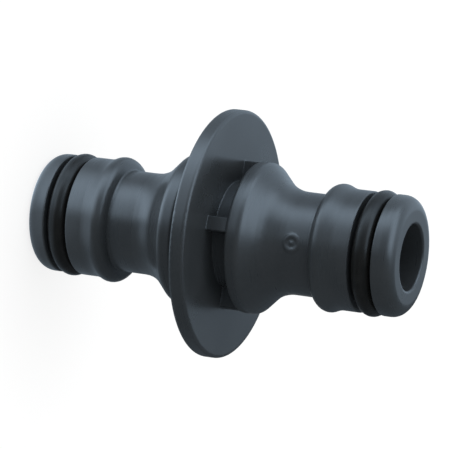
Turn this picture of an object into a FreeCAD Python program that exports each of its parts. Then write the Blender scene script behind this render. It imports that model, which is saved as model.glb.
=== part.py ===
"""Two-way hose connector: one moulded body with a plug at each end, and two O-rings.

The axis of the connector is +Z. It stands on the end face of its lower plug, so
the origin is the middle of that face and the flange lies half a length above it.
The body is drawn about the middle of its flange and then lifted by its Placement.
All sizes are in millimetres and degrees.
"""

import FreeCAD, Part
import math
import os

import PartDesign
import Sketcher

from FreeCAD import Placement, Rotation, Vector

# Driving dimensions, each the name of a cell in the spreadsheet
SIZES = {
    # the flange in the middle, and the slot on each side of it
    "flange_reach": 6.5,
    "flange_thickness": 2.1,
    "flange_round": 0.45,
    "slot_width": 2.8,
    # the shoulder beyond each slot, and the core and the ribs that join it to the flange
    "shoulder_height": 2.1,
    "shoulder_land": 1.75,
    "shoulder_slope": 45.0,
    "shoulder_round": 1.0,
    "shoulder_back_round": 0.3,
    "core_step": 0.45,
    "rib_count": 4,
    "rib_thickness": 1.85,
    "rib_inset": 0.2,
    # the neck that the claws of a hose coupling close round
    "neck_depth": 1.15,
    "neck_sweep": 5.0,
    "waist_length": 7.05,
    # the round bead between the neck and the plug
    "bead_height": 0.5,
    "bead_radius": 1.4,
    "bead_root_round": 0.3,
    "bead_sweep": 3.0,
    # the plug with its seal groove and its nose
    "plug_diameter": 16.0,
    "plug_length": 4.3,
    "groove_edge_round": 0.15,
    "nose_length": 2.8,
    "nose_round": 1.8,
    # the O-ring: it stands proud of the plug and is flattened a little on the groove's floor
    "ring_cord": 2.5,
    "ring_proud": 0.32,
    "ring_flat": 0.08,
    "ring_side_gap": 0.35,
    # the bore that runs through the connector, set by the wall left under the groove
    "groove_wall": 1.5,
    "mouth_round": 0.25,
    # the moulding gate on the upper neck: a low ring with a small nub in the middle of it
    "gate_offset": 3.1,
    "gate_turn": 7.7,
    "gate_ring_radius": 0.92,
    "gate_ring_round": 0.55,
    "gate_ring_rise": 0.1,
    "gate_nub_round": 0.4,
    "gate_nub_rise": 0.12,
}

# Lengths that follow from the driving dimensions, each a cell with a formula.
# Radii are worked out from the plug, and heights from the middle of the flange.
DERIVED = {
    "plug_radius": "plug_diameter / 2",
    "neck_radius": "plug_radius - neck_depth",
    "shoulder_radius": "plug_radius + shoulder_height",
    "flange_diameter": "(shoulder_radius + flange_reach) * 2",
    "core_radius": "neck_radius + core_step",
    "rib_length": "shoulder_radius - rib_inset",
    "shoulder_back": "flange_thickness / 2 + slot_width",
    "shoulder_front": "shoulder_back + shoulder_land",
    "rib_span": "shoulder_back + shoulder_front",
    "slope_end": "shoulder_front + (shoulder_radius - neck_radius) / tan(shoulder_slope * 1 deg)",
    "gate_place": "slope_end + gate_offset",
    "gate_ring_level": "gate_place + gate_ring_radius",
    "gate_ring_depth": "neck_radius + gate_ring_rise - gate_ring_round",
    "gate_nub_depth": "neck_radius + gate_nub_rise - gate_nub_round",
    "bead_place": "slope_end + waist_length",
    "bead_centre": "plug_radius + bead_height - bead_radius",
    "root_centre": "neck_radius + bead_root_round",
    "sweep_centre": "plug_radius + bead_sweep",
    "bead_start": "bead_place - sqrt((bead_radius + bead_root_round)^2 - (root_centre - bead_centre)^2)",
    "bead_end": "bead_place + sqrt((bead_radius + bead_sweep)^2 - (sweep_centre - bead_centre)^2)",
    "groove_floor_radius": "plug_radius + ring_proud + ring_flat - ring_cord",
    "ring_radius": "ring_cord / 2",
    "ring_centre": "groove_floor_radius + ring_radius - ring_flat",
    "groove_bottom": "bead_place + plug_length",
    "groove_top": "groove_bottom + ring_cord + ring_side_gap * 2",
    "ring_place": "(groove_top + groove_bottom) / 2",
    "half_length": "groove_top + nose_length",
    "bore_diameter": "(groove_floor_radius - groove_wall) * 2",
    "bore_cut": "half_length * 4",
}

FULL_TURN = 360.0
NEAR = 1e-3


def make_sheet(doc):
    """The spreadsheet: the driving dimensions, then the lengths that follow from them."""
    sheet = doc.addObject("Spreadsheet::Sheet", "Sizes")
    entries = {name: str(value) for name, value in SIZES.items()}
    entries.update({name: "=" + formula for name, formula in DERIVED.items()})
    for row, (name, entry) in enumerate(entries.items(), start=1):
        sheet.set(f"A{row}", name)
        sheet.set(f"B{row}", entry)
        sheet.setAlias(f"B{row}", name)
        doc.recompute()
    return sheet


def cell(doc, name):
    """The present value of one cell, as a plain number."""
    return float(getattr(doc.Sizes, name))


def make_body(doc, label, height):
    """An empty body that stands at a height given by a formula."""
    body = doc.addObject("PartDesign::Body", label)
    body.Label = label
    body.setExpression("Placement.Base.z", height)
    return body


def origin_item(body, role):
    return next(item for item in body.Origin.OriginFeatures if item.Role == role)


def make_sketch(body, name, support):
    sketch = body.newObject("Sketcher::SketchObject", name)
    sketch.AttachmentSupport = [(support, "")]
    sketch.MapMode = "FlatFace"
    return sketch


def bind(sketch, kind, geometry, name):
    """Adds a dimension to a sketch and lets it follow one cell."""
    value = cell(sketch.Document, name)
    index = sketch.addConstraint(Sketcher.Constraint(kind, *geometry, value))
    sketch.setExpression(f"Constraints[{index}]", f"Sizes.{name}")


def pin_point(sketch, point, across, along):
    """Fixes a point by the cells of its two distances from the origin; None means on an axis."""
    if across is None:
        sketch.addConstraint(Sketcher.Constraint("PointOnObject", *point, -2))
    else:
        bind(sketch, "DistanceX", (-1, 1, *point), across)
    if along is None:
        sketch.addConstraint(Sketcher.Constraint("PointOnObject", *point, -1))
    else:
        bind(sketch, "DistanceY", (-1, 1, *point), along)


def draw_outline(sketch, corners):
    """A closed outline of straight lines through corners given by the cells of their distances."""
    spots = []
    for across, along in corners:
        x = cell(sketch.Document, across) if across else 0.0
        y = cell(sketch.Document, along) if along else 0.0
        spots.append(Vector(x, y, 0))
    for start, end in zip(spots, spots[1:] + spots[:1]):
        sketch.addGeometry(Part.LineSegment(start, end))
    count = len(spots)
    for line in range(count):
        following = (line + 1) % count
        sketch.addConstraint(Sketcher.Constraint("Coincident", line, 2, following, 1))
    for line, (across, along) in enumerate(corners):
        pin_point(sketch, (line, 1), across, along)


def draw_circle(sketch, diameter, along=None):
    """A circle whose diameter, and whose height where it is off the origin, follow cells."""
    y = cell(sketch.Document, along) if along else 0.0
    radius = cell(sketch.Document, diameter) / 2
    line = sketch.addGeometry(Part.Circle(Vector(0, y, 0), Vector(0, 0, 1), radius))
    bind(sketch, "Diameter", (line,), diameter)
    pin_point(sketch, (line, 3), None, along)


def draw_bead(sketch):
    """Half section of the bead: a small round at its root, its crown, and a long sweep to the plug."""
    doc = sketch.Document
    root = Vector(cell(doc, "root_centre"), cell(doc, "bead_start"), 0)
    crown = Vector(cell(doc, "bead_centre"), cell(doc, "bead_place"), 0)
    sweep = Vector(cell(doc, "sweep_centre"), cell(doc, "bead_end"), 0)
    rise = math.atan2(crown.y - root.y, crown.x - root.x)
    fall = math.atan2(sweep.y - crown.y, sweep.x - crown.x)
    arcs = [
        (root, "bead_root_round", rise, math.pi),
        (crown, "bead_radius", rise - math.pi, fall),
        (sweep, "bead_sweep", math.pi, fall + math.pi),
    ]
    for centre, radius, start, end in arcs:
        circle = Part.Circle(centre, Vector(0, 0, 1), cell(doc, radius))
        line = sketch.addGeometry(Part.ArcOfCircle(circle, start, end))
        bind(sketch, "Radius", (line,), radius)
    plug_point = Vector(cell(doc, "plug_radius"), sweep.y, 0)
    neck_point = Vector(cell(doc, "neck_radius"), root.y, 0)
    spots = [plug_point, Vector(0, sweep.y, 0), Vector(0, root.y, 0), neck_point]
    for start, end in zip(spots, spots[1:]):
        sketch.addGeometry(Part.LineSegment(start, end))
    for joint in ((0, 1, 1, 1), (1, 2, 2, 2)):
        sketch.addConstraint(Sketcher.Constraint("Tangent", *joint))
    for joint in ((2, 1, 3, 1), (3, 2, 4, 1), (4, 2, 5, 1), (5, 2, 0, 2)):
        sketch.addConstraint(Sketcher.Constraint("Coincident", *joint))
    for level in ((0, 2, 0, 3), (2, 1, 2, 3), (3,), (5,)):
        sketch.addConstraint(Sketcher.Constraint("Horizontal", *level))
    sketch.addConstraint(Sketcher.Constraint("PointOnObject", 4, 1, -2))
    sketch.addConstraint(Sketcher.Constraint("PointOnObject", 4, 2, -2))
    bind(sketch, "DistanceX", (-1, 1, 0, 3), "root_centre")
    pin_point(sketch, (1, 3), "bead_centre", "bead_place")
    bind(sketch, "DistanceX", (-1, 1, 2, 3), "sweep_centre")


def revolve(body, name, sketch, kind="PartDesign::Revolution", axis="V_Axis"):
    """Turns a sketch once round one of its axes: as a rule the axis of the connector."""
    feature = body.newObject(kind, name)
    feature.Profile = sketch
    feature.ReferenceAxis = (sketch, [axis])
    feature.Angle = FULL_TURN
    body.Document.recompute()
    return feature


def turned_shape(body, name, corners, kind="PartDesign::Revolution"):
    """A round shape, or a round cut, whose half section has the given corners."""
    sketch = make_sketch(body, name + "_section", origin_item(body, "XZ_Plane"))
    draw_outline(sketch, corners)
    return revolve(body, name, sketch, kind)


def ring_edges(feature, rings):
    """The names of the circular edges that have one of the given radii and heights."""
    names = []
    for number, edge in enumerate(feature.Shape.Edges, start=1):
        curve = edge.Curve
        if not isinstance(curve, Part.Circle):
            continue
        for radius, height in rings:
            same_size = abs(curve.Radius - radius) < NEAR
            same_place = abs(curve.Center.z - height) < NEAR and abs(curve.Center.x) < NEAR
            if same_size and same_place:
                names.append(f"Edge{number}")
    return names


def round_edges(body, name, rings, radius_cell):
    """Rounds the circular edges of the body's latest feature that are named by radius and height."""
    base = body.Tip
    edges = ring_edges(base, rings)
    if not edges:
        raise ValueError(f"{name}: no edge to round")
    fillet = body.newObject("PartDesign::Fillet", name)
    fillet.Base = (base, edges)
    fillet.setExpression("Radius", f"Sizes.{radius_cell}")
    body.Document.recompute()


def add_half(doc, body):
    """Neck, core, shoulder, bead and plug of the upper half, with its seal groove and its rounds."""
    neck = cell(doc, "neck_radius")
    plug = cell(doc, "plug_radius")
    shoulder = cell(doc, "shoulder_radius")
    front = cell(doc, "shoulder_front")
    slope_end = cell(doc, "slope_end")

    turned_shape(body, "Neck", [
        (None, None),
        ("neck_radius", None),
        ("neck_radius", "bead_start"),
        (None, "bead_start"),
    ])
    turned_shape(body, "Core", [
        (None, None),
        ("core_radius", None),
        ("core_radius", "shoulder_back"),
        (None, "shoulder_back"),
    ])
    turned_shape(body, "Shoulder", [
        (None, "shoulder_back"),
        ("shoulder_radius", "shoulder_back"),
        ("shoulder_radius", "shoulder_front"),
        ("neck_radius", "slope_end"),
        (None, "slope_end"),
    ])
    round_edges(body, "NeckSweep", [(neck, slope_end)], "neck_sweep")
    round_edges(body, "ShoulderRound", [(shoulder, front)], "shoulder_round")
    back = cell(doc, "shoulder_back")
    round_edges(body, "ShoulderBackRound", [(shoulder, back)], "shoulder_back_round")

    bead_section = make_sketch(body, "Bead_section", origin_item(body, "XZ_Plane"))
    draw_bead(bead_section)
    revolve(body, "Bead", bead_section)
    turned_shape(body, "Plug", [
        (None, "bead_end"),
        ("plug_radius", "bead_end"),
        ("plug_radius", "half_length"),
        (None, "half_length"),
    ])
    turned_shape(body, "SealGroove", [
        ("groove_floor_radius", "groove_bottom"),
        ("shoulder_radius", "groove_bottom"),
        ("shoulder_radius", "groove_top"),
        ("groove_floor_radius", "groove_top"),
    ], "PartDesign::Groove")
    groove_edges = [(plug, cell(doc, "groove_bottom")), (plug, cell(doc, "groove_top"))]
    round_edges(body, "GrooveEdges", groove_edges, "groove_edge_round")
    round_edges(body, "NoseRound", [(plug, cell(doc, "half_length"))], "nose_round")


def mirror_half(body):
    """The lower half is the mirror image of the upper one."""
    mirror = body.newObject("PartDesign::Mirrored", "LowerHalf")
    mirror.MirrorPlane = (origin_item(body, "XY_Plane"), [""])
    mirror.TransformMode = "Whole shape"
    body.Tip = mirror
    body.Document.recompute()


def add_flange(doc, body):
    sketch = make_sketch(body, "Flange_circle", origin_item(body, "XY_Plane"))
    draw_circle(sketch, "flange_diameter")
    pad = body.newObject("PartDesign::Pad", "Flange")
    pad.Profile = sketch
    pad.Midplane = True
    pad.setExpression("Length", "Sizes.flange_thickness")
    doc.recompute()
    radius = cell(doc, "flange_diameter") / 2
    face = cell(doc, "flange_thickness") / 2
    round_edges(body, "FlangeRound", [(radius, face), (radius, -face)], "flange_round")


def add_ribs(doc, body):
    """Ribs across the slots: each one pad runs through the flange and into both shoulders."""
    sketch = make_sketch(body, "Rib_outline", origin_item(body, "XY_Plane"))
    half = cell(doc, "rib_thickness") / 2
    reach = cell(doc, "rib_length")
    spots = [Vector(0, -half, 0), Vector(reach, -half, 0), Vector(reach, half, 0), Vector(0, half, 0)]
    for start, end in zip(spots, spots[1:] + spots[:1]):
        sketch.addGeometry(Part.LineSegment(start, end))
    for line in range(4):
        sketch.addConstraint(Sketcher.Constraint("Coincident", line, 2, (line + 1) % 4, 1))
    for line, way in enumerate(("Horizontal", "Vertical", "Horizontal", "Vertical")):
        sketch.addConstraint(Sketcher.Constraint(way, line))
    sketch.addConstraint(Sketcher.Constraint("Symmetric", 0, 1, 2, 2, -1, 1))
    bind(sketch, "DistanceX", (0, 1, 0, 2), "rib_length")
    bind(sketch, "DistanceY", (1, 1, 1, 2), "rib_thickness")
    rib = body.newObject("PartDesign::Pad", "Rib")
    rib.Profile = sketch
    rib.Midplane = True
    rib.setExpression("Length", "Sizes.rib_span")
    doc.recompute()
    pattern = body.newObject("PartDesign::PolarPattern", "Ribs")
    pattern.Originals = [rib]
    pattern.Axis = (origin_item(body, "Z_Axis"), [""])
    pattern.Angle = FULL_TURN
    pattern.setExpression("Occurrences", "Sizes.rib_count")
    body.Tip = pattern
    doc.recompute()


def cut_bore(doc, body):
    sketch = make_sketch(body, "Bore_circle", origin_item(body, "XY_Plane"))
    draw_circle(sketch, "bore_diameter")
    bore = body.newObject("PartDesign::Pocket", "Bore")
    bore.Profile = sketch
    bore.Midplane = True
    bore.setExpression("Length", "Sizes.bore_cut")
    doc.recompute()
    radius = cell(doc, "bore_diameter") / 2
    end = cell(doc, "half_length")
    round_edges(body, "BoreMouths", [(radius, end), (radius, -end)], "mouth_round")


def make_gate_sketch(body, name, plane):
    """A sketch across the gate, whose first construction line is the gate's own axis."""
    sketch = make_sketch(body, name, plane)
    height = cell(body.Document, "gate_place")
    reach = cell(body.Document, "neck_radius")
    line = Part.LineSegment(Vector(0, height, 0), Vector(reach, height, 0))
    axis = sketch.addGeometry(line, True)
    pin_point(sketch, (axis, 1), None, "gate_place")
    pin_point(sketch, (axis, 2), "neck_radius", "gate_place")
    return sketch


def add_gate(doc, body):
    """The mark of the moulding gate: a low ring on the upper neck, and a nub in the middle of it."""
    plane = body.newObject("PartDesign::Plane", "GatePlane")
    plane.AttachmentSupport = [(origin_item(body, "XZ_Plane"), "")]
    plane.MapMode = "FlatFace"
    plane.AttachmentOffset = Placement(Vector(), Rotation(Vector(0, 1, 0), 1.0))
    plane.setExpression("AttachmentOffset.Rotation.Angle", "Sizes.gate_turn - 90")
    doc.recompute()

    section = make_gate_sketch(body, "Gate_ring_section", plane)
    centre = Vector(cell(doc, "gate_ring_depth"), cell(doc, "gate_ring_level"), 0)
    circle = Part.Circle(centre, Vector(0, 0, 1), cell(doc, "gate_ring_round"))
    line = section.addGeometry(circle)
    bind(section, "Radius", (line,), "gate_ring_round")
    pin_point(section, (line, 3), "gate_ring_depth", "gate_ring_level")
    revolve(body, "GateRing", section, axis="Axis0")

    half = make_gate_sketch(body, "Gate_nub_section", plane)
    centre = Vector(cell(doc, "gate_nub_depth"), cell(doc, "gate_place"), 0)
    circle = Part.Circle(centre, Vector(0, 0, 1), cell(doc, "gate_nub_round"))
    arc = Part.ArcOfCircle(circle, 0, math.pi)
    dome = half.addGeometry(arc)
    base = half.addGeometry(Part.LineSegment(arc.EndPoint, arc.StartPoint))
    half.addConstraint(Sketcher.Constraint("Coincident", dome, 2, base, 1))
    half.addConstraint(Sketcher.Constraint("Coincident", base, 2, dome, 1))
    half.addConstraint(Sketcher.Constraint("Horizontal", base))
    half.addConstraint(Sketcher.Constraint("PointOnObject", dome, 3, base))
    bind(half, "Radius", (dome,), "gate_nub_round")
    pin_point(half, (dome, 3), "gate_nub_depth", "gate_place")
    revolve(body, "GateNub", half, axis="Axis0")


def make_connector(doc):
    body = make_body(doc, "connector_body", "Sizes.half_length")
    add_half(doc, body)
    mirror_half(body)
    add_flange(doc, body)
    add_ribs(doc, body)
    cut_bore(doc, body)
    add_gate(doc, body)
    return body


def make_ring(doc, label, height):
    """An O-ring: a round cord, flat where it sits on the floor of its groove."""
    body = make_body(doc, label, height)
    sketch = make_sketch(body, label + "_section", origin_item(body, "XZ_Plane"))
    centre = Vector(cell(doc, "ring_centre"), 0, 0)
    radius = cell(doc, "ring_radius")
    floor = cell(doc, "groove_floor_radius")
    rise = (radius**2 - (centre.x - floor) ** 2) ** 0.5
    foot = Vector(floor, -rise, 0)
    head = Vector(floor, rise, 0)
    crown = Vector(centre.x + radius, 0, 0)
    cord = sketch.addGeometry(Part.Arc(foot, crown, head))
    seat = sketch.addGeometry(Part.LineSegment(head, foot))
    sketch.addConstraint(Sketcher.Constraint("Coincident", cord, 2, seat, 1))
    sketch.addConstraint(Sketcher.Constraint("Coincident", seat, 2, cord, 1))
    sketch.addConstraint(Sketcher.Constraint("Vertical", seat))
    bind(sketch, "Radius", (cord,), "ring_radius")
    pin_point(sketch, (cord, 3), "ring_centre", None)
    bind(sketch, "DistanceX", (-1, 1, seat, 1), "groove_floor_radius")
    revolve(body, label + "_cord", sketch)
    return body


def check_document(doc):
    for item in doc.Objects:
        if "Invalid" in item.State or "Error" in item.State:
            raise ValueError(f"{item.Name} did not build")


def main():
    os.makedirs("parts", exist_ok=True)
    doc = FreeCAD.newDocument("hose_connector")
    make_sheet(doc)
    bodies = [
        make_connector(doc),
        make_ring(doc, "lower_o_ring", "Sizes.half_length - Sizes.ring_place"),
        make_ring(doc, "upper_o_ring", "Sizes.half_length + Sizes.ring_place"),
    ]
    doc.recompute()
    check_document(doc)
    for body in bodies:
        shape = body.Shape
        if shape.isNull() or not shape.isValid() or len(shape.Solids) != 1:
            raise ValueError(f"{body.Label} is not one valid solid")
        shape.exportStep(f"parts/{body.Label}.step")


main()
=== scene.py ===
import math

import bpy
from mathutils import Matrix, Vector


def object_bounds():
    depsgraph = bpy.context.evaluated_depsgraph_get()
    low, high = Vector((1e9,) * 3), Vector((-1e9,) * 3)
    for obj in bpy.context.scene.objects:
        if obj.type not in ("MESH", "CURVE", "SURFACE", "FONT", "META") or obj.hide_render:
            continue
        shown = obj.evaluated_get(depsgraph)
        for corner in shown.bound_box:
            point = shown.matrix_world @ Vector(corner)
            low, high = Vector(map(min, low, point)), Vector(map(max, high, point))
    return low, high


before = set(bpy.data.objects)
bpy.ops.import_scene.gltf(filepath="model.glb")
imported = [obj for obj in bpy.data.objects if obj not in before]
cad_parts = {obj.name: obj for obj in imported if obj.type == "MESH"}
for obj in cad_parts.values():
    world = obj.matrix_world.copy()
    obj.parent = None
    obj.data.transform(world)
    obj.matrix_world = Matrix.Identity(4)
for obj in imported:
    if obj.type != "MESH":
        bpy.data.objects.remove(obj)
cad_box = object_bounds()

# The photograph's camera, worked out from the outline of the connector: where the middle of the flange
# shows, how far off it is, and how the bore tilts towards the camera, slants in the picture and is turned
PHOTO_SIZE = 449
FOCAL_PIXELS = 3016.0
FLANGE_PIXEL = (226.7, 233.2)
FLANGE_DISTANCE = 0.4013
AXIS_TILT = math.radians(22.85)
AXIS_SLANT = math.radians(7.34)
TURN = math.radians(6.7)
SENSOR = 36.0
CLIP_START = 0.01

FLANGE_CENTRE = (cad_box[0] + cad_box[1]) / 2

# How bright the studio tent is in a reflection and as matt light: at its wall, all round, and what is
# added to that towards the floor and overhead
GLOSS_WALL = 3.3
GLOSS_FILL = 0.1
FLOOR_FILL = 0.12
MATT_WALL = 0.85
MATT_FILL = 0.48
TOP_FILL = 0.15
GLOSS_COLOUR = (0.82, 1.04, 1.27, 1)
MATT_COLOUR = (0.97, 0.98, 0.98, 1)

# Where each part of the tent starts and where it has its full level, by a direction's three shares: across
# the bore (+X, which is down in the picture), away from the camera (+Y) and along the bore (+Z)
WALL_ACROSS = (0.16, -0.12)
BACK_WALL_ACROSS = (-0.03, -0.2)
BACK_WALL_AWAY = (0.3, 0.7)
LOW_WALL_ACROSS = (0.6, 0.25)
LOW_WALL_ALONG = (-0.75, -0.85)
LOW_WALL_SHARE = 0.3
HIGH_ALONG = (0.1, 0.5)
LOW_ALONG = (0.0, -0.3)
FLOOR_FILL_ALONG = (-0.35, -0.7)
TOP_FILL_ALONG = (0.0, 0.7)
BACKDROP_AWAY = (0.88, 0.92)
BACKDROP_ALONG = (-0.2, -0.38)

# The wall's bands, each dim on the camera's side and faded at the back
HIGH_BAND = {"brightens": (-0.8, -0.35), "dim": 0.12, "fades": (-0.1, 0.3), "faded": 0.27}
LEVEL_BAND = {"brightens": (-0.95, -0.55), "dim": 0.12, "fades": (-0.43, 0.01), "faded": 0.22}
LOW_BAND = {"brightens": (-1.0, -0.5), "dim": 0.3, "fades": (-0.55, -0.05), "faded": 0.1}

FLOOR_HALF = 3.0
FLOOR_COLOUR = (0.3, 0.3, 0.3, 1)
FLOOR_GLOW = 0.8
WHITE = (1, 1, 1, 1)

# What both finishes share: the scale across the bore that draws a noise out into lines, the radius in
# metres at which edges look rounded, and the middle values of a noise that a pattern uses
LINE_STRETCH = 0.06
EDGE_RADIUS = 0.0003
EDGE_SAMPLES = 6
PATTERN_RANGE = (0.35, 0.65)

# Each finish: a pattern is its size in metres and its detail, a relief is its height in metres, a share
# is that of the clouds in a mix of two patterns, and the roughness goes from the first level to the second
PLASTIC_DARK = (0.0325, 0.0385, 0.0435, 1)
PLASTIC_LIGHT = (0.0395, 0.0455, 0.051, 1)
PLASTIC_CLOUD = (0.007, 4.0)
PLASTIC_GRAIN = (0.0003, 1.0)
PLASTIC_LINES = (0.0005, 1.0)
PLASTIC_GRAIN_RELIEF = 0.0000012
PLASTIC_LINE_RELIEF = 0.000003
PLASTIC_TONE_SHARE = 0.7
PLASTIC_SHEEN_SHARE = 0.5
PLASTIC_ROUGHNESS = (0.27, 0.34)

RUBBER_DARK = (0.009, 0.0095, 0.0095, 1)
RUBBER_LIGHT = (0.015, 0.0155, 0.0155, 1)
RUBBER_CLOUD = (0.0016, 3.0)
RUBBER_GRAIN = (0.0002, 2.0)
RUBBER_LINES = (0.00035, 3.0)
RUBBER_GRAIN_RELIEF = 0.000002
RUBBER_LINE_RELIEF = 0.000008
RUBBER_TONE_SHARE = 0.5
RUBBER_ROUGHNESS = (0.38, 0.24)
RUBBER_SPECULAR = 0.19


def photo_axes():
    """The object's axes as seen by the camera: x to the right, y down, z away from it."""
    axis = Vector((
        math.cos(AXIS_TILT) * math.cos(AXIS_SLANT),
        math.cos(AXIS_TILT) * math.sin(AXIS_SLANT),
        -math.sin(AXIS_TILT),
    ))
    near = (Vector((0, 0, -1)) - math.sin(AXIS_TILT) * axis) / math.cos(AXIS_TILT)
    front = math.cos(TURN) * near + math.sin(TURN) * near.cross(axis)
    across = (-front).cross(axis)
    return across, -front, axis


def add_camera():
    to_world = Matrix(photo_axes())
    middle = (PHOTO_SIZE - 1) / 2
    offset = Vector((
        (FLANGE_PIXEL[0] - middle) / FOCAL_PIXELS,
        (FLANGE_PIXEL[1] - middle) / FOCAL_PIXELS,
        1.0,
    )) * FLANGE_DISTANCE
    # A camera's own axes point to the right, up and backwards
    turn = to_world @ Matrix(((1, 0, 0), (0, -1, 0), (0, 0, -1)))
    data = bpy.data.cameras.new("photo_camera")
    data.sensor_width = SENSOR
    data.lens = FOCAL_PIXELS / PHOTO_SIZE * SENSOR
    data.clip_start = CLIP_START
    camera = bpy.data.objects.new("photo_camera", data)
    camera.matrix_world = Matrix.Translation(FLANGE_CENTRE - to_world @ offset) @ turn.to_4x4()
    bpy.context.scene.collection.objects.link(camera)
    bpy.context.scene.camera = camera


def link_all(tree, pairs):
    for source, target in pairs:
        tree.links.new(source, target)


def smooth_range(tree, value, limits, levels=(0.0, 1.0)):
    """Goes smoothly from one level to the other while the value goes from one limit to the other."""
    node = tree.nodes.new("ShaderNodeMapRange")
    node.interpolation_type = "SMOOTHSTEP"
    for name, number in zip(("From Min", "From Max", "To Min", "To Max"), (*limits, *levels)):
        node.inputs[name].default_value = number
    tree.links.new(value, node.inputs["Value"])
    return node.outputs["Result"]


def combine(tree, operation, first, second):
    """Calculates with two values, each another node's output or a plain number."""
    node = tree.nodes.new("ShaderNodeMath")
    node.operation = operation
    for socket, item in zip(node.inputs, (first, second)):
        if isinstance(item, (int, float)):
            socket.default_value = item
        else:
            tree.links.new(item, socket)
    return node.outputs["Value"]


def mix_values(tree, share, first, second):
    node = tree.nodes.new("ShaderNodeMix")
    link_all(tree, [
        (share, node.inputs["Factor"]),
        (first, node.inputs["A"]),
        (second, node.inputs["B"]),
    ])
    return node.outputs["Result"]


def mix_colours(tree, share, first, second):
    node = tree.nodes.new("ShaderNodeMix")
    node.data_type = "RGBA"
    low, high = (socket for socket in node.inputs if socket.type == "RGBA")
    low.default_value = first
    high.default_value = second
    tree.links.new(share, node.inputs["Factor"])
    return next(socket for socket in node.outputs if socket.type == "RGBA")


def split(tree, vector):
    node = tree.nodes.new("ShaderNodeSeparateXYZ")
    tree.links.new(vector, node.inputs[0])
    return node.outputs


def wall_band(tree, away, band):
    """How bright a band of the wall is, from the camera's side to the back."""
    front = smooth_range(tree, away, band["brightens"], (band["dim"], 1.0))
    back = smooth_range(tree, away, band["fades"], (1.0, band["faded"]))
    return combine(tree, "MULTIPLY", front, back)


def wall_outline(tree, across, away, along):
    """Where the wall stands: on the -X side, narrower at the back, and weakly under the object."""
    side = smooth_range(tree, across, WALL_ACROSS)
    back_side = smooth_range(tree, across, BACK_WALL_ACROSS)
    upright = mix_values(tree, smooth_range(tree, away, BACK_WALL_AWAY), side, back_side)
    low = combine(tree, "MULTIPLY", smooth_range(tree, along, LOW_WALL_ALONG), LOW_WALL_SHARE)
    low_side = combine(tree, "MULTIPLY", smooth_range(tree, across, LOW_WALL_ACROSS), low)
    return combine(tree, "MAXIMUM", upright, low_side)


def tent_light(tree, direction):
    """The light of a softbox wall on the -X side, which leaves the side of the camera and the back dim."""
    across, away, along = split(tree, direction)
    high, level, low = (wall_band(tree, away, band) for band in (HIGH_BAND, LEVEL_BAND, LOW_BAND))
    upper = mix_values(tree, smooth_range(tree, along, HIGH_ALONG), level, high)
    reach = mix_values(tree, smooth_range(tree, along, LOW_ALONG), upper, low)
    wall = combine(tree, "MULTIPLY", wall_outline(tree, across, away, along), reach)
    gloss_fill = smooth_range(tree, along, FLOOR_FILL_ALONG, (GLOSS_FILL, GLOSS_FILL + FLOOR_FILL))
    gloss = combine(tree, "ADD", combine(tree, "MULTIPLY", wall, GLOSS_WALL), gloss_fill)
    matt_fill = smooth_range(tree, along, TOP_FILL_ALONG, (MATT_FILL, MATT_FILL + TOP_FILL))
    matt = combine(tree, "ADD", combine(tree, "MULTIPLY", wall, MATT_WALL), matt_fill)
    path = tree.nodes.new("ShaderNodeLightPath")
    return mix_values(tree, path.outputs["Is Glossy Ray"], matt, gloss)


def tent_colour(tree):
    """The tent is bluish in a reflection, and almost neutral as matt light."""
    path = tree.nodes.new("ShaderNodeLightPath")
    return mix_colours(tree, path.outputs["Is Glossy Ray"], MATT_COLOUR, GLOSS_COLOUR)


def white_share(tree, direction):
    """The camera and what shines through see plain white, and a reflection sees it behind the object."""
    path = tree.nodes.new("ShaderNodeLightPath")
    away, along = split(tree, direction)[1:]
    behind = smooth_range(tree, away, BACKDROP_AWAY)
    backdrop = combine(tree, "MULTIPLY", behind, smooth_range(tree, along, BACKDROP_ALONG))
    mirrored = combine(tree, "MULTIPLY", path.outputs["Is Glossy Ray"], backdrop)
    seen = combine(tree, "MAXIMUM", path.outputs["Is Camera Ray"], path.outputs["Is Transmission Ray"])
    return combine(tree, "MAXIMUM", seen, mirrored)


def new_material(name):
    material = bpy.data.materials.new(name)
    material.use_nodes = True
    return material


def glowing_floor():
    """Glows with the tent's light towards the object, as a lamp would though it is no lamp, and for the
    camera is white with the object's shadow.
    """
    material = new_material("floor")
    tree = material.node_tree
    nodes = tree.nodes
    nodes.clear()
    place = nodes.new("ShaderNodeNewGeometry")
    offset = nodes.new("ShaderNodeVectorMath")
    offset.operation = "SUBTRACT"
    offset.inputs[1].default_value = FLANGE_CENTRE
    direction = nodes.new("ShaderNodeVectorMath")
    direction.operation = "NORMALIZE"
    # The floor's glow: it gives off the tent's light in reflections and as matt light, though it is no lamp
    tent = nodes.new("ShaderNodeEmission")
    diffuse = nodes.new("ShaderNodeBsdfDiffuse")
    diffuse.inputs["Color"].default_value = FLOOR_COLOUR
    glow = nodes.new("ShaderNodeEmission")
    glow.inputs["Strength"].default_value = FLOOR_GLOW
    white = nodes.new("ShaderNodeAddShader")
    mix = nodes.new("ShaderNodeMixShader")
    out = nodes.new("ShaderNodeOutputMaterial")
    link_all(tree, [
        (place.outputs["Position"], offset.inputs[0]),
        (offset.outputs["Vector"], direction.inputs[0]),
        (tent_colour(tree), tent.inputs["Color"]),
        (tent_light(tree, direction.outputs["Vector"]), tent.inputs["Strength"]),
        (diffuse.outputs[0], white.inputs[0]),
        (glow.outputs[0], white.inputs[1]),
        (white_share(tree, direction.outputs["Vector"]), mix.inputs[0]),
        (tent.outputs[0], mix.inputs[1]),
        (white.outputs[0], mix.inputs[2]),
        (mix.outputs[0], out.inputs["Surface"]),
    ])
    return material


def add_floor():
    mesh = bpy.data.meshes.new("floor")
    corners = [(x * FLOOR_HALF, y * FLOOR_HALF, 0) for x, y in ((-1, -1), (1, -1), (1, 1), (-1, 1))]
    mesh.from_pydata(corners, [], [(0, 1, 2, 3)])
    mesh.materials.append(glowing_floor())
    floor = bpy.data.objects.new("floor", mesh)
    bpy.context.scene.collection.objects.link(floor)


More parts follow.
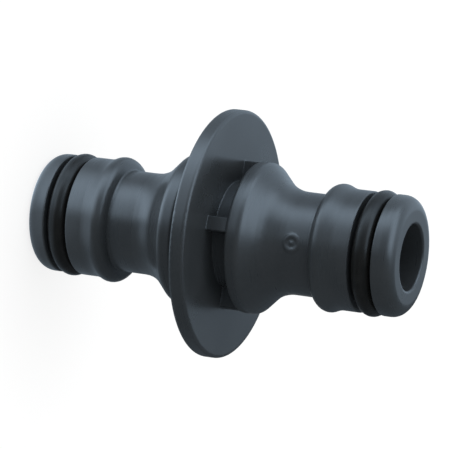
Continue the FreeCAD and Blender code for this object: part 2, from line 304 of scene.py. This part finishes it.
def add_world():
    """The tent lights the object, and the camera sees plain white behind it."""
    world = bpy.data.worlds.new("studio")
    world.use_nodes = True
    tree = world.node_tree
    direction = tree.nodes.new("ShaderNodeTexCoord").outputs["Generated"]
    tent = tree.nodes["Background"]
    white = tree.nodes.new("ShaderNodeBackground")
    white.inputs["Color"].default_value = WHITE
    mix = tree.nodes.new("ShaderNodeMixShader")
    link_all(tree, [
        (tent_colour(tree), tent.inputs["Color"]),
        (tent_light(tree, direction), tent.inputs["Strength"]),
        (white_share(tree, direction), mix.inputs[0]),
        (tent.outputs[0], mix.inputs[1]),
        (white.outputs[0], mix.inputs[2]),
        (mix.outputs[0], tree.nodes["World Output"].inputs["Surface"]),
    ])
    bpy.context.scene.world = world


def noise(tree, coordinates, pattern):
    """A noise whose blotches have about the pattern's size."""
    size, detail = pattern
    node = tree.nodes.new("ShaderNodeTexNoise")
    node.inputs["Scale"].default_value = 1 / size
    node.inputs["Detail"].default_value = detail
    tree.links.new(coordinates, node.inputs["Vector"])
    return node.outputs["Fac"]


def blend(tree, cloud, other, share):
    """A pattern made of so much of the clouds, and of the other pattern for the rest."""
    part = combine(tree, "MULTIPLY", cloud, share)
    return combine(tree, "ADD", part, combine(tree, "MULTIPLY", other, 1 - share))


def drawn_round(tree, place):
    """Coordinates that stretch a pattern across the bore's axis, into lines that run round the part."""
    node = tree.nodes.new("ShaderNodeVectorMath")
    node.operation = "MULTIPLY"
    node.inputs[1].default_value = (LINE_STRETCH, LINE_STRETCH, 1.0)
    tree.links.new(place, node.inputs[0])
    return node.outputs["Vector"]


def soft_edges(tree):
    """The surface's direction with its sharp edges rounded, as a mould leaves them."""
    node = tree.nodes.new("ShaderNodeBevel")
    node.samples = EDGE_SAMPLES
    node.inputs["Radius"].default_value = EDGE_RADIUS
    return node.outputs["Normal"]


def relief(tree, pattern, height, below):
    """A bump of a pattern, on top of another one."""
    node = tree.nodes.new("ShaderNodeBump")
    node.inputs["Strength"].default_value = 1.0
    node.inputs["Distance"].default_value = height
    tree.links.new(pattern, node.inputs["Height"])
    tree.links.new(below, node.inputs["Normal"])
    return node.outputs["Normal"]


def moulded_plastic():
    """Dark slate plastic with a satin face: faint clouds, a fine grain and the turned lines of its mould."""
    material = new_material("connector_plastic")
    tree = material.node_tree
    shader = tree.nodes["Principled BSDF"]
    place = tree.nodes.new("ShaderNodeTexCoord").outputs["Object"]
    cloud = noise(tree, place, PLASTIC_CLOUD)
    grain = noise(tree, place, PLASTIC_GRAIN)
    lines = noise(tree, drawn_round(tree, place), PLASTIC_LINES)
    tone = smooth_range(tree, blend(tree, cloud, grain, PLASTIC_TONE_SHARE), PATTERN_RANGE)
    sheen = blend(tree, cloud, lines, PLASTIC_SHEEN_SHARE)
    turned = relief(tree, lines, PLASTIC_LINE_RELIEF, soft_edges(tree))
    link_all(tree, [
        (mix_colours(tree, tone, PLASTIC_DARK, PLASTIC_LIGHT), shader.inputs["Base Color"]),
        (smooth_range(tree, sheen, PATTERN_RANGE, PLASTIC_ROUGHNESS), shader.inputs["Roughness"]),
        (relief(tree, grain, PLASTIC_GRAIN_RELIEF, turned), shader.inputs["Normal"]),
    ])
    return material


def seal_rubber():
    """Nearly black rubber with a low gloss, streaked round the ring as when it is rolled into its seat."""
    material = new_material("seal_rubber")
    tree = material.node_tree
    shader = tree.nodes["Principled BSDF"]
    shader.inputs["Specular IOR Level"].default_value = RUBBER_SPECULAR
    place = tree.nodes.new("ShaderNodeTexCoord").outputs["Object"]
    cloud = noise(tree, place, RUBBER_CLOUD)
    grain = noise(tree, place, RUBBER_GRAIN)
    lines = noise(tree, drawn_round(tree, place), RUBBER_LINES)
    streaks = blend(tree, cloud, lines, RUBBER_TONE_SHARE)
    tone = smooth_range(tree, streaks, PATTERN_RANGE)
    streaked = relief(tree, lines, RUBBER_LINE_RELIEF, soft_edges(tree))
    link_all(tree, [
        (mix_colours(tree, tone, RUBBER_DARK, RUBBER_LIGHT), shader.inputs["Base Color"]),
        (smooth_range(tree, streaks, PATTERN_RANGE, RUBBER_ROUGHNESS), shader.inputs["Roughness"]),
        (relief(tree, grain, RUBBER_GRAIN_RELIEF, streaked), shader.inputs["Normal"]),
    ])
    return material


def dress():
    """The body gets the plastic, and both O-rings the rubber."""
    finishes = {"connector_body": moulded_plastic()}
    rubber = seal_rubber()
    for name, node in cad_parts.items():
        node.data.materials.clear()
        node.data.materials.append(finishes.get(name, rubber))


add_camera()
add_floor()
add_world()
dress()

bpy.context.scene.view_settings.view_transform = "Standard"
